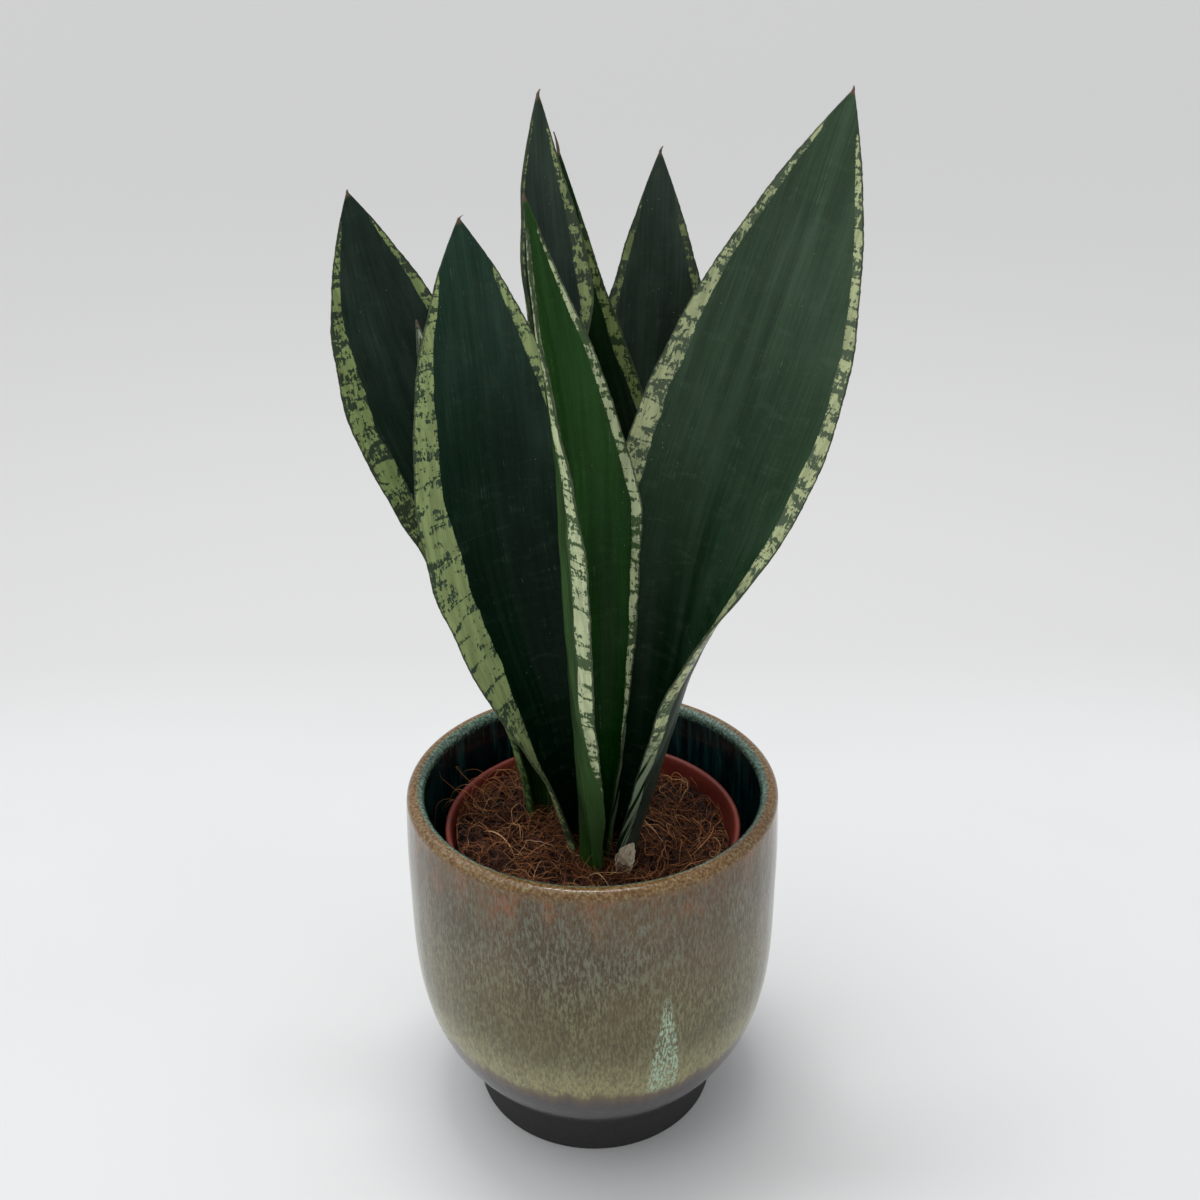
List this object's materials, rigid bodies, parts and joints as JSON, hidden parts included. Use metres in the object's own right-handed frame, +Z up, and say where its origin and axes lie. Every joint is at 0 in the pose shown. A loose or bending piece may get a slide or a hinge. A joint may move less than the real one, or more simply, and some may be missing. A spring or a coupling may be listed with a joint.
{
  "type": "potted snake plant",
  "caption": "Upright snake plant with stiff cream-edged dark leaves, rooted in coir in a plastic nursery pot that stands loose inside a glazed ceramic cachepot.",
  "frame": {"origin": "centre of the cachepot's flat underside, on the pot's axis", "axes": "+Z up along the pot's axis, -Y towards the viewer's side of the plant, +X to the viewer's right"},
  "size_m": [0.1852, 0.1502, 0.4053],
  "materials": {
    "glaze": "glossy reactive glaze, brown and grey-blue streaks over a yellow-green band, bare charcoal foot",
    "nursery_plastic": "satin terracotta-coloured moulded plastic",
    "coir": "loose dry coconut fibre",
    "rhizome": "smooth fleshy underground stem",
    "leaf": "waxy dark green blade with pale yellow-green margins broken by dark bands",
    "papery_sheath": "dry papery off-white scale"
  },
  "bodies": {
    "root": {"cachepot": "glaze", "nursery_pot": "nursery_plastic", "coir_block": "coir", "rhizome": "rhizome", "leaf_front": "leaf", "leaf_front_left": "leaf", "leaf_front_right": "leaf", "leaf_centre": "leaf", "leaf_back": "leaf", "leaf_back_right": "leaf", "leaf_side": "leaf", "leaf_side_young": "leaf", "papery_sheath": "papery_sheath"}
  },
  "joints": []
}
